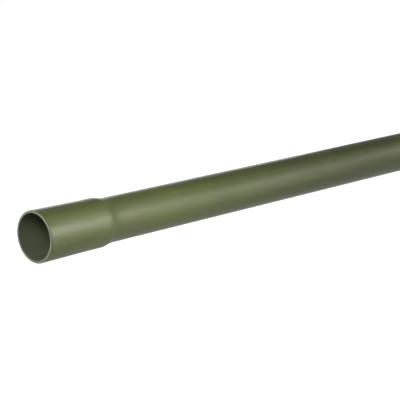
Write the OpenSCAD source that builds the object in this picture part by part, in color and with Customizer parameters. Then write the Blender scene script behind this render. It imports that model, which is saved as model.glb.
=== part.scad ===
// Rigid PVC electrical conduit, 3/4 inch trade size, olive green, with an integral belled end.
//
// The conduit is one extruded tube. It lies along +X: the centre of the bell's mouth is at the
// origin, and the plain end is at the far end of the tube. One end is heated and drawn over a
// mandrel, which opens it into a socket for the plain end of the next length:
//
//   mouth      a flat saw-cut ring, a little wider inside than the tube is outside
//   lead-in    a slow taper that guides the next length in
//   seat       a straight stretch, a close sliding fit on the tube
//   shoulder   a smooth S-shaped step down to the tube, on which the next length stops
//
// All sizes are in millimetres.

/* [Length] */

// Overall length, from the bell's mouth to the plain end
overall_len = 3000; // [1000:50:6000]

/* [Tube] */

// Outside diameter of the tube
tube_od = 26.67; // [21.34:0.01:60.33]

// Wall thickness of the tube
tube_wall = 1.52; // [1.2:0.01:3]

/* [Bell] */

// Depth of the socket, from the mouth to the start of the shoulder
socket_depth = 46; // [36:1:100]

// Length of the straight seat at the bottom of the socket
seat_len = 12; // [6:1:30]

// Length of the shoulder between the socket and the tube
shoulder_len = 10; // [4:0.5:16]

// How slowly the shoulder eases into the tube: 1 is an even S-curve, more turns tighter at the socket
shoulder_ease = 1.6; // [1:0.1:2.5]

// How much wider the mouth is than the tube that goes into it, on the diameter
mouth_gap = 0.61; // [0.2:0.01:1.5]

// How much wider the seat is than the tube that goes into it, on the diameter
seat_gap = 0.08; // [0.02:0.01:0.1]

// Wall thickness at the mouth
mouth_wall = 1.52; // [1.2:0.01:3]

// Wall thickness at the seat, where the tube was drawn out thinner
seat_wall = 1.36; // [0.9:0.01:3]

/* [Ends] */

// Radius on the outer edge of the mouth, softened when the bell is formed
mouth_outer_edge_r = 0.6; // [0.1:0.05:0.7]

// Radius on the inner edge of the mouth, left almost sharp
mouth_inner_edge_r = 0.15; // [0.05:0.05:0.4]

// Length of the bevel round the outside of the plain end
bevel_len = 1.5; // [0.5:0.1:4]

// Depth of the bevel round the outside of the plain end
bevel_depth = 0.4; // [0.1:0.05:0.8]

/* [Hidden] */

// PVC's olive green
olive_green = [0.38, 0.41, 0.28];

// Radii of the tube
tube_r = tube_od / 2;
bore_r = tube_r - tube_wall;

// Radii of the bell, inside and outside, at the mouth and at the seat
mouth_r = (tube_od + mouth_gap) / 2;
mouth_outer_r = mouth_r + mouth_wall;
seat_r = (tube_od + seat_gap) / 2;
seat_outer_r = seat_r + seat_wall;

// Where the lead-in taper gives way to the straight seat
seat_start = socket_depth - seat_len;

// Straight steps in the S-curve of the shoulder, and in each rounded edge of the mouth
shoulder_steps = 12;
edge_steps = 6;
turn_sides = 96;

// A point of the section, x along the conduit and r out from its axis.
// rotate_extrude turns about the Y axis of the sketch, so the radius comes first.
function at(x, r) = [r, x];

// The S-curve from one radius down to another over the length of the shoulder: half a cosine wave,
// drawn out toward the tube
function shoulder(bell_radius, tube_radius) = [
    for (i = [0 : shoulder_steps])
        let (
            share = i / shoulder_steps,
            along = pow(share, shoulder_ease),
            lift = (1 + cos(180 * share)) / 2
        )
        at(socket_depth + along * shoulder_len, tube_radius + (bell_radius - tube_radius) * lift)
];

// A quarter round from the saw-cut ring of the mouth to a wall at radius r. The ring lies inside
// that radius for the outside wall (side = 1), and outside it for the inside wall (side = -1).
function mouth_edge(r, edge_r, side) = [
    for (i = [0 : edge_steps])
        let (angle = 90 * i / edge_steps)
        at(edge_r * (1 - cos(angle)), r - side * edge_r * (1 - sin(angle)))
];

// The outside of the wall, from the mouth to the plain end
outside = concat(
    mouth_edge(mouth_outer_r, mouth_outer_edge_r, 1),
    [at(seat_start, seat_outer_r)],
    shoulder(seat_outer_r, tube_r),
    [
        at(overall_len - bevel_len, tube_r),
        at(overall_len, tube_r - bevel_depth)
    ]
);

// The inside of the wall, from the mouth to the plain end
inside = concat(
    mouth_edge(mouth_r, mouth_inner_edge_r, -1),
    [at(seat_start, seat_r)],
    shoulder(seat_r, bore_r),
    [at(overall_len, bore_r)]
);

function reversed(points) = [for (i = [len(points) - 1 : -1 : 0]) points[i]];

// The whole conduit: the section of its wall, turned about the axis
module conduit() {
    color(olive_green)
        rotate([0, 90, 0])
            rotate_extrude($fn = turn_sides)
                polygon(concat(outside, reversed(inside)));
}

conduit();
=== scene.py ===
"""The looks of a length of rigid PVC electrical conduit with a belled end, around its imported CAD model.

Metres, in the CAD's frame: the centre of the bell's mouth is at the origin, the conduit lies along +X
and +Z is up. The section of the wall comes from the CAD mesh, and is turned here with many more sides.
"""

import math

import bmesh
import bpy
import numpy as np
from mathutils import Matrix, Vector

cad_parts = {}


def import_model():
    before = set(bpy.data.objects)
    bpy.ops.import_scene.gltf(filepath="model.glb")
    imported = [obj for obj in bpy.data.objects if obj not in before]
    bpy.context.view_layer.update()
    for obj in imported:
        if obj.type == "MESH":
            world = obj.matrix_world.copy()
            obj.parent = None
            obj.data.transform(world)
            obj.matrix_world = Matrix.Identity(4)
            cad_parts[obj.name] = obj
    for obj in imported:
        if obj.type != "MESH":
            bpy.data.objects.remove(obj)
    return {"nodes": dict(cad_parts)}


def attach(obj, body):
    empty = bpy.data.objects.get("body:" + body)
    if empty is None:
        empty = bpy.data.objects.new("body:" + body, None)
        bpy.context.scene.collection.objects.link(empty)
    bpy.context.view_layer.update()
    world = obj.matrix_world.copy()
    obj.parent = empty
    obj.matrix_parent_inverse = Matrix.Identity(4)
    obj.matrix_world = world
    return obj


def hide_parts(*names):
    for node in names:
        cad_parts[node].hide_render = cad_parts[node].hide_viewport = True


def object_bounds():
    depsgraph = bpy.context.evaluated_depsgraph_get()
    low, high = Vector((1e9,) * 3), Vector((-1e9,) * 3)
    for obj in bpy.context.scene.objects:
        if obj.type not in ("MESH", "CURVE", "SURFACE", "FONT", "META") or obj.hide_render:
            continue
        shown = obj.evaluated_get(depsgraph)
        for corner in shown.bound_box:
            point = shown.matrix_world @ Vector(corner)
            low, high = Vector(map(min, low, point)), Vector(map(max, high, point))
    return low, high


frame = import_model()
cad_low, cad_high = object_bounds()

MM = 0.001

# The CAD mesh: the decimals of a metre that tell its rings apart, and a thickness that all of its walls pass
RING_DECIMALS = 6
LEAST_WALL = 1.0 * MM

# The turned mesh: sides round the axis, where the first one starts (on the underside, where the UV map's
# seam hides), how close to each corner of the section its support rings stand and how long a stretch has
# to be to get them, and the angle from which an edge is sharp
SIDES = 192
FIRST_SIDE = math.radians(-90)
SUPPORT = 0.4 * MM
LONG_STRETCH = 1.6 * MM
SHARP_ANGLE = math.radians(35)

# The numbers of its materials
SKIN, SAWN, BORE = range(3)

# Patches of the UV map, (left, low, right, high): the circumference runs across and the length runs up.
# The bell gets a large share of the length of its patch, because most of the detail is there.
OUTSIDE_PATCH = (0.0, 0.06, 0.49, 1.0)
INSIDE_PATCH = (0.51, 0.06, 1.0, 1.0)
MOUTH_PATCH = (0.0, 0.0, 0.49, 0.04)
PLAIN_END_PATCH = (0.51, 0.0, 1.0, 0.04)
BELL_END = 60 * MM
BELL_SHARE = 0.3

# The camera: the turn and rise of its line of sight, its lens, where the mouth lies from it, and how far
# it sees
VIEW_AZIMUTH = math.radians(-46.4)
VIEW_ELEVATION = math.radians(12.9)
LENS_MM = 126.0
SENSOR_MM = 36.0
MOUTH_AHEAD = 0.7803
MOUTH_LEFT = 0.0925
MOUTH_BELOW = 0.0207
VIEW_REACH = 200.0

# The floor: how far it reaches, and the bend, height and facets of the wall that it curves up into
FLOOR_REACH = 50.0
COVE_BEND = 8.0
COVE_HEIGHT = 16.0
COVE_STEPS = 12
COVE_SIDES = 96

# The brightness of the world on every side, the share of other light that the floor sends back, and the glow
# that makes it white where it is seen directly
WORLD_LIGHT = 0.13
FLOOR_GREY = 0.25
FLOOR_GLOW = 0.97

# A row of softboxes on the camera's side, farther along the conduit, each with a grid that keeps its light
# to a narrow beam: (distance along the conduit, height, brightness). The wall mirrors them as one soft band.
# A softbox's size is (width, height).
ROW_DISTANCE = 0.40
ROW_BEAM = math.radians(40)
ROW_TINT = (1.0, 0.98, 0.90)
ROW_SIZE = (0.10, 0.16)
ROW = [
    (0.32, 0.14, 50.0),
    (0.42, 0.18, 26.0),
    (0.62, 0.14, 37.0),
    (1.00, 0.26, 34.0),
]

# Two softboxes turned to the mouth from in front of it: one on the camera's side, for the inside of the
# bell, and one low on the other side, for the saw-cut ring
MOUTH_CENTRE = (0.0, 0.0, 0.0)
FRONT_AT = (-0.38, -0.32, 0.33)
FRONT_SIZE = (0.2, 0.2)
FRONT_LIGHT = 15.0
BEHIND_AT = (-0.45, 0.38, 0.14)
BEHIND_SIZE = (0.25, 0.25)
BEHIND_LIGHT = 9.0

# One long low softbox on the other side of the conduit, for its back
BACK_AT = (0.50, 0.70, 0.12)
BACK_AIM = (0.40, 0.0, 0.0)
BACK_SIZE = (1.0, 0.16)
BACK_LIGHT = 6.0

# Softboxes over the rest of the conduit: how many there are, how far along it the first one hangs, and their
# height above it, size (along it, across it), beam and brightness
OVER_COUNT = 4
OVER_FROM = 1.05
OVER_HEIGHT = 0.70
OVER_SIZE = (0.50, 1.20)
OVER_BEAM = math.radians(95)
OVER_LIGHT = 6.0

# One softbox past the plain end: how far past it, where it stands from the axis, its size and its brightness
PAST_END = 0.40
PAST_AT = (-0.25, 0.35)
PAST_SIZE = (0.25, 0.25)
PAST_LIGHT = 14.0

# Colour, roughness and depth of relief of the plastic: its skin, the duller wall of the bore, and where a
# saw has cut it. The bore's colour is paler and greyer than the skin's, as a painted reflection.
SKIN_OLIVE = (0.079, 0.098, 0.030, 1.0)
SKIN_ROUGHNESS = 0.40
SKIN_RELIEF = 0.10 * MM
# The bore's olive, made paler and greyer as a painted reflection
BORE_OLIVE_AND_REFLECTION = (0.136, 0.160, 0.098, 1.0)
BORE_ROUGHNESS = 0.45
BORE_RELIEF = 0.12 * MM
# The sawn colour is pale partly as bare cut plastic and partly as a painted highlight on the ring
SAWN_OLIVE_AND_HIGHLIGHT = (0.255, 0.290, 0.185, 1.0)
SAWN_ROUGHNESS = 0.70
SAWN_RELIEF = 0.06 * MM

# The gloss of the plastic. Its fine matt finish sends back less light at a glancing angle than polished PVC
# would, so its index of refraction is set low and its specular level high. The draw lines leave it rougher
# round the conduit than along it.
MATT_IOR = 1.2
MATT_GLOSS = 1.0
DRAWN_ANISOTROPY = 0.8

# The marks on the extruded walls, (width, length): broad streaks of tone, long waves in the surface and fine
# draw lines. Soft clouds of tone and a faint orange peel have one size. The shares are of the waves' height.
STREAK = (3.5 * MM, 500 * MM)
WAVE = (3.0 * MM, 320 * MM)
DRAW_LINE = (0.40 * MM, 50 * MM)
CLOUD = 30 * MM
PEEL = 1.3 * MM
DRAW_LINE_SHARE = 0.20
PEEL_SHARE = 0.10
TONE_SPREAD = 0.16
ROUGHNESS_SPREAD = 0.06

# Noise: between which values most of it lies, and its detail in the drawn-out marks and in the others
MOST_NOISE = (0.3, 0.7)
DRAWN_DETAIL = 4.0
PLAIN_DETAIL = 3.0

# How much of those marks the heat that formed the bell has left on it, and where that heat stopped
HEATED_RELIEF = 0.5
HEATED_TO = (46 * MM, 62 * MM)

# Painted shade darkens the shoulder: the middle of that band, its reach to either side and the tone in its
# middle
SHADE_BAND_AT = 49.5 * MM
SHADE_BAND_REACH = 7 * MM
SHADE_BAND_TONE = 0.74

# How far along the mouth's outer edge the burr of the cut was scraped off. That edge wears the pale sawn
# colour, partly as bare plastic and partly as a painted highlight.
SCRAPED_AND_HIGHLIGHT_TO = 0.2 * MM

# The marks of the saw on the cut ends: their width, length and slant
SAW_MARK = (0.22 * MM, 12 * MM)
SAW_SLANT = math.radians(24)
SAWN_TONE_SPREAD = 0.20


# --- Shape ------------------------------------------------------------------------------------------------


def wall_section(tube):
    """The section of the CAD wall: (x, radius) points outside and inside, from the mouth to the far end."""
    rings = {}
    for vertex in tube.data.vertices:
        x, y, z = vertex.co
        rings.setdefault(round(x, RING_DECIMALS), []).append(math.hypot(y, z))
    both = [x for x in sorted(rings) if max(rings[x]) - min(rings[x]) > LEAST_WALL]
    half_way = [(max(rings[x]) + min(rings[x])) / 2 for x in both]
    outside, inside = [], []
    for x in sorted(rings):
        middle = np.interp(x, both, half_way)
        if max(rings[x]) > middle:
            outside.append((x, max(rings[x])))
        if min(rings[x]) < middle:
            inside.append((x, min(rings[x])))
    return outside, inside


def supported(points):
    """The same line with extra points close to its corners, so that the long stretches shade as straight."""
    line = [Vector(p) for p in points]
    out = [line[0]]
    for start, end in zip(line, line[1:]):
        run = end - start
        if run.length > LONG_STRETCH:
            out.append(start + run.normalized() * SUPPORT)
            out.append(end - run.normalized() * SUPPORT)
        out.append(end)
    return out


def heights_on_map(line):
    """How far up its patch of the UV map each point of a line lies, from 0 to 1."""
    start, end = line[0], line[-1]
    if abs(end[0] - start[0]) < BELL_END:
        return np.linspace(0.0, 1.0, len(line))
    far_end = max(start[0], end[0])
    return np.interp([point[0] for point in line], (0.0, BELL_END, far_end), (0.0, BELL_SHARE, 1.0))


def turned_ring(bm, point):
    """A ring of vertices about X through a point of the section."""
    x, radius = point
    angles = [FIRST_SIDE + math.tau * side / SIDES for side in range(SIDES)]
    return [bm.verts.new((x, radius * math.cos(angle), radius * math.sin(angle))) for angle in angles]


def turned(name, zones):
    """A closed mesh turned about X. Each zone of its section has its line, which starts where the last one
    ends, the number of its material and its patch of the UV map."""
    bm = bmesh.new()
    uv = bm.loops.layers.uv.new("OFBake")
    rings, bands = [], []
    for line, material, patch in zones:
        heights = heights_on_map(line)
        for point, low, high in zip(line, heights, heights[1:]):
            rings.append(turned_ring(bm, point))
            bands.append((material, patch, low, high))
    for number, (material, (left, bottom, right, top), low, high) in enumerate(bands):
        ring, following = rings[number], rings[(number + 1) % len(rings)]
        for side in range(SIDES):
            after = (side + 1) % SIDES
            face = bm.faces.new((ring[side], ring[after], following[after], following[side]))
            face.material_index = material
            face.smooth = True
            corners = ((side, low), (side + 1, low), (side + 1, high), (side, high))
            for loop, (across, up) in zip(face.loops, corners):
                loop[uv].uv = (left + (right - left) * across / SIDES, bottom + (top - bottom) * up)
    return linked(name, bm)


def linked(name, bm):
    """Makes a bmesh into an object of the scene."""
    mesh = bpy.data.meshes.new(name)
    bm.to_mesh(mesh)
    bm.free()
    piece = bpy.data.objects.new(name, mesh)
    bpy.context.scene.collection.objects.link(piece)
    return piece


def cove(name, level):
    """A round floor that curves up into a low wall, so that no edge of it shows behind the conduit."""
    profile = []
    for step in range(COVE_STEPS + 1):
        bend = math.radians(90) * step / COVE_STEPS
        profile.append((FLOOR_REACH + COVE_BEND * math.sin(bend), COVE_BEND * (1 - math.cos(bend))))
    profile.append((FLOOR_REACH + COVE_BEND, COVE_HEIGHT))
    bm = bmesh.new()
    rings = []
    for reach, height in profile:
        angles = [math.tau * side / COVE_SIDES for side in range(COVE_SIDES)]
        places = [(reach * math.cos(angle), reach * math.sin(angle), level + height) for angle in angles]
        rings.append([bm.verts.new(place) for place in places])
    bm.faces.new(rings[0])
    for lower, upper in zip(rings, rings[1:]):
        for side in range(COVE_SIDES):
            after = (side + 1) % COVE_SIDES
            bm.faces.new((lower[side], lower[after], upper[after], upper[side])).smooth = True
    return linked(name, bm)


# --- Materials --------------------------------------------------------------------------------------------


def node(tree, kind, inputs=None, **settings):
    """Adds a shader node with its settings, and with a value or a link for each input that is given."""
    made = tree.nodes.new("ShaderNode" + kind)
    for name, value in settings.items():
        setattr(made, name, value)
    for name, value in (inputs or {}).items():
        if isinstance(value, bpy.types.NodeSocket):
            tree.links.new(value, made.inputs[name])
        else:
            made.inputs[name].default_value = value
    return made


def new_material(name):
    """An empty material, as the material and its node tree."""
    material = bpy.data.materials.new(name)
    material.use_nodes = True
    material.node_tree.nodes.clear()
    return material, material.node_tree


def finish(tree, shader):
    """Sends a shader to the surface."""
    node(tree, "OutputMaterial", {"Surface": shader})


def spread(tree, noise, middle, reach):
    """Stretches noise to a range that reaches as far below a middle as above it."""
    low, high = MOST_NOISE
    ends = {
        "Value": noise,
        "From Min": low,
        "From Max": high,
        "To Min": middle - reach,
        "To Max": middle + reach,
    }
    return node(tree, "MapRange", ends).outputs["Result"]


def drawn_noise(tree, place, width, length):
    """Noise in marks of a width round the conduit and a length along it, such as its die leaves."""
    scale = (1 / length, 1 / width, 1 / width)
    stretched = node(tree, "Mapping", {"Vector": place, "Scale": scale}).outputs["Vector"]
    noise = {"Vector": stretched, "Scale": 1.0, "Detail": DRAWN_DETAIL}
    return node(tree, "TexNoise", noise).outputs["Fac"]


def even_noise(tree, place, size):
    """Noise in spots of one size."""
    noise = {"Vector": place, "Scale": 1 / size, "Detail": PLAIN_DETAIL}
    return node(tree, "TexNoise", noise).outputs["Fac"]


def added(tree, first, share, second):
    """A share of the first value added to the second."""
    return node(tree, "Math", {0: first, 1: share, 2: second}, operation="MULTIPLY_ADD").outputs[0]


def painted_shoulder_shade(tree, along):
    """Painted shade along the conduit: 1, and less over the shoulder."""
    offset = node(tree, "Math", {0: along, 1: SHADE_BAND_AT}, operation="SUBTRACT").outputs[0]
    away = node(tree, "Math", {0: offset}, operation="ABSOLUTE").outputs[0]
    ends = {"Value": away, "From Min": 0.0, "From Max": SHADE_BAND_REACH, "To Min": SHADE_BAND_TONE, "To Max": 1.0}
    return node(tree, "MapRange", ends, interpolation_type="SMOOTHSTEP").outputs["Result"]


def plastic(tree, colour, roughness, normal):
    """The shader that every face of the conduit wears."""
    inputs = {
        "Base Color": colour,
        "Roughness": roughness,
        "IOR": MATT_IOR,
        "Specular IOR Level": MATT_GLOSS,
        "Normal": normal,
    }
    return node(tree, "BsdfPrincipled", inputs)


def drawn_pvc(name, colour, roughness, depth):
    """An extruded wall: streaks and clouds of tone, painted shade over the shoulder, and drawn-out relief,
    which is softer on the bell.
    """
    material, tree = new_material(name)
    place = node(tree, "TexCoord").outputs["Object"]
    streaks = drawn_noise(tree, place, *STREAK)
    clouds = even_noise(tree, place, CLOUD)
    both = node(tree, "Math", {0: streaks, 1: clouds}, operation="ADD").outputs[0]
    middle = node(tree, "Math", {0: both, 1: 0.5}, operation="MULTIPLY").outputs[0]
    along = node(tree, "SeparateXYZ", {"Vector": place}).outputs["X"]
    # The random tone, times the painted shade over the shoulder
    tone_and_shade = {0: spread(tree, middle, 1.0, TONE_SPREAD), 1: painted_shoulder_shade(tree, along)}
    tone = node(tree, "Math", tone_and_shade, operation="MULTIPLY").outputs[0]
    toned = node(tree, "HueSaturation", {"Color": colour, "Value": tone}).outputs["Color"]

    lines = drawn_noise(tree, place, *DRAW_LINE)
    waves = drawn_noise(tree, place, *WAVE)
    peel = even_noise(tree, place, PEEL)
    height = added(tree, peel, PEEL_SHARE, added(tree, lines, DRAW_LINE_SHARE, waves))
    bell, tube = HEATED_TO
    cooled = {"Value": along, "From Min": bell, "From Max": tube, "To Min": HEATED_RELIEF, "To Max": 1.0}
    left_over = node(tree, "MapRange", cooled).outputs["Result"]
    relief = {"Height": height, "Strength": left_over, "Distance": depth}
    normal = node(tree, "Bump", relief).outputs["Normal"]

    shader = plastic(tree, toned, spread(tree, streaks, roughness, ROUGHNESS_SPREAD), normal)
    shader.inputs["Anisotropic"].default_value = DRAWN_ANISOTROPY
    around = node(tree, "Tangent", direction_type="RADIAL", axis="X").outputs["Tangent"]
    tree.links.new(around, shader.inputs["Tangent"])
    finish(tree, shader.outputs["BSDF"])
    return material


def sawn_pvc(name, colour, roughness, mark_depth):
    """A saw-cut end: dull and crossed by the slanting marks of the saw. It is pale, partly as bare cut
    plastic and partly as a painted highlight.
    """
    material, tree = new_material(name)
    place = node(tree, "TexCoord").outputs["Object"]
    turn = {"Vector": place, "Rotation": (SAW_SLANT, 0.0, 0.0)}
    slanted = node(tree, "Mapping", turn).outputs["Vector"]
    width, length = SAW_MARK
    scale = (1.0, 1 / width, 1 / length)
    stretched = node(tree, "Mapping", {"Vector": slanted, "Scale": scale}).outputs["Vector"]
    noise = {"Vector": stretched, "Scale": 1.0, "Detail": PLAIN_DETAIL}
    marks = node(tree, "TexNoise", noise).outputs["Fac"]
    tone = spread(tree, marks, 1.0, SAWN_TONE_SPREAD)
    toned = node(tree, "HueSaturation", {"Color": colour, "Value": tone}).outputs["Color"]
    normal = node(tree, "Bump", {"Height": marks, "Distance": mark_depth}).outputs["Normal"]
    shader = plastic(tree, toned, spread(tree, marks, roughness, ROUGHNESS_SPREAD), normal)
    finish(tree, shader.outputs["BSDF"])
    return material


def seen_directly(tree):
    """1 where the background is seen by the camera, in a reflection or through something clear, else 0."""
    path = node(tree, "LightPath").outputs
    mirrored = {0: path["Is Camera Ray"], 1: path["Is Glossy Ray"]}
    either = node(tree, "Math", mirrored, operation="MAXIMUM").outputs[0]
    through = {0: either, 1: path["Is Transmission Ray"]}
    return node(tree, "Math", through, operation="MAXIMUM").outputs[0]


def white_floor():
    """White where it is seen directly, with the conduit's faint shadow on it. To other light it is grey."""
    material, tree = new_material("floor")
    matt = node(tree, "BsdfDiffuse", {"Color": (FLOOR_GREY, FLOOR_GREY, FLOOR_GREY, 1.0)}).outputs["BSDF"]
    glow = node(tree, "Emission", {"Strength": FLOOR_GLOW}).outputs["Emission"]
    white = node(tree, "AddShader", {0: matt, 1: glow}).outputs["Shader"]
    finish(tree, node(tree, "MixShader", {0: seen_directly(tree), 1: matt, 2: white}).outputs["Shader"])
    return material


# --- Light and camera -------------------------------------------------------------------------------------


def world(radiance):
    """The same plain light from every side."""
    studio = bpy.data.worlds.new("studio")
    studio.use_nodes = True
    background = studio.node_tree.nodes["Background"]
    background.inputs["Color"].default_value = (1.0, 1.0, 1.0, 1.0)
    background.inputs["Strength"].default_value = radiance
    bpy.context.scene.world = studio


def softbox(name, at, aim, size, radiance, beam=math.pi, tint=(1.0, 1.0, 1.0)):
    """A flat lamp of (width, height) at one place, turned to another. Radiance is its brightness from
    straight in front, and beam is the full angle that its grid lets through."""
    data = bpy.data.lights.new(name, "AREA")
    data.shape = "RECTANGLE"
    data.size, data.size_y = size
    data.spread = beam
    through = 1.0 if beam == math.pi else 1 - (beam / 2) / math.tan(beam / 2)
    data.energy = radiance * through * math.pi * size[0] * size[1]
    data.color = tint
    lamp = bpy.data.objects.new(name, data)
    bpy.context.scene.collection.objects.link(lamp)
    lamp.location = at
    lamp.rotation_euler = (Vector(aim) - Vector(at)).to_track_quat("-Z", "Y").to_euler()


def softbox_row(eye):
    """The row of softboxes, each turned to the place where the conduit mirrors it to the camera."""
    for number, (along, height, radiance) in enumerate(ROW, 1):
        mirrored_at = (eye.x * ROW_DISTANCE - along * eye.y) / (ROW_DISTANCE - eye.y)
        place = (along, -ROW_DISTANCE, height)
        softbox(f"row_{number}", place, (mirrored_at, 0.0, 0.0), ROW_SIZE, radiance, ROW_BEAM, ROW_TINT)


def softboxes_over(far_end):
    """Evenly spaced softboxes that look straight down on the conduit, out to its far end."""
    for number, along in enumerate(np.linspace(OVER_FROM, far_end, OVER_COUNT), 1):
        above = (along, 0.0, OVER_HEIGHT)
        below = (along, 0.0, 0.0)
        softbox(f"over_{number}", above, below, OVER_SIZE, OVER_LIGHT, OVER_BEAM)


def camera():
    """Looks along the photograph's line of sight, with the mouth of the bell low on the left."""
    right = Vector((math.cos(VIEW_AZIMUTH), math.sin(VIEW_AZIMUTH), 0))
    rise = math.sin(VIEW_ELEVATION)
    flat = math.cos(VIEW_ELEVATION)
    back = Vector((math.sin(VIEW_AZIMUTH) * flat, -math.cos(VIEW_AZIMUTH) * flat, rise))
    up = back.cross(right)
    data = bpy.data.cameras.new("camera")
    data.lens = LENS_MM
    data.sensor_width = SENSOR_MM
    data.clip_end = VIEW_REACH
    eye = bpy.data.objects.new("camera", data)
    bpy.context.scene.collection.objects.link(eye)
    eye.matrix_world = Matrix((right, up, back)).transposed().to_4x4()
    eye.location = back * MOUTH_AHEAD + right * MOUTH_LEFT + up * MOUTH_BELOW
    bpy.context.scene.camera = eye
    return eye.location


# --- The conduit ------------------------------------------------------------------------------------------

outside, inside = wall_section(frame["nodes"]["conduit"])
scraped_edge_and_highlight = [point for point in outside if point[0] < SCRAPED_AND_HIGHLIGHT_TO]
skin = supported(outside[len(scraped_edge_and_highlight) - 1 :])
bore = supported(inside)
conduit = turned(
    "conduit_tube",
    [
        (skin, SKIN, OUTSIDE_PATCH),
        ([skin[-1], bore[-1]], SAWN, PLAIN_END_PATCH),
        (bore[::-1], BORE, INSIDE_PATCH),
        # The mouth's ring and scraped outer edge wear the pale sawn colour, partly a painted highlight
        ([bore[0]] + scraped_edge_and_highlight, SAWN, MOUTH_PATCH),
    ],
)
conduit.data.materials.append(drawn_pvc("pvc_outside", SKIN_OLIVE, SKIN_ROUGHNESS, SKIN_RELIEF))
conduit.data.materials.append(sawn_pvc("pvc_sawn", SAWN_OLIVE_AND_HIGHLIGHT, SAWN_ROUGHNESS, SAWN_RELIEF))
conduit.data.materials.append(drawn_pvc("pvc_inside", BORE_OLIVE_AND_REFLECTION, BORE_ROUGHNESS, BORE_RELIEF))
conduit.data.set_sharp_from_angle(angle=SHARP_ANGLE)
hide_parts("conduit")
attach(conduit, "root")

floor = cove("floor", cad_low[2])
floor.data.materials.append(white_floor())

world(WORLD_LIGHT)
eye = camera()
softbox_row(eye)
softbox("front", FRONT_AT, MOUTH_CENTRE, FRONT_SIZE, FRONT_LIGHT)
softbox("behind", BEHIND_AT, MOUTH_CENTRE, BEHIND_SIZE, BEHIND_LIGHT)
softbox("back", BACK_AT, BACK_AIM, BACK_SIZE, BACK_LIGHT)
plain_end = cad_high[0]
softboxes_over(plain_end)
softbox("past", (plain_end + PAST_END, *PAST_AT), (plain_end, 0.0, 0.0), PAST_SIZE, PAST_LIGHT)
bpy.context.scene.view_settings.view_transform = "Standard"
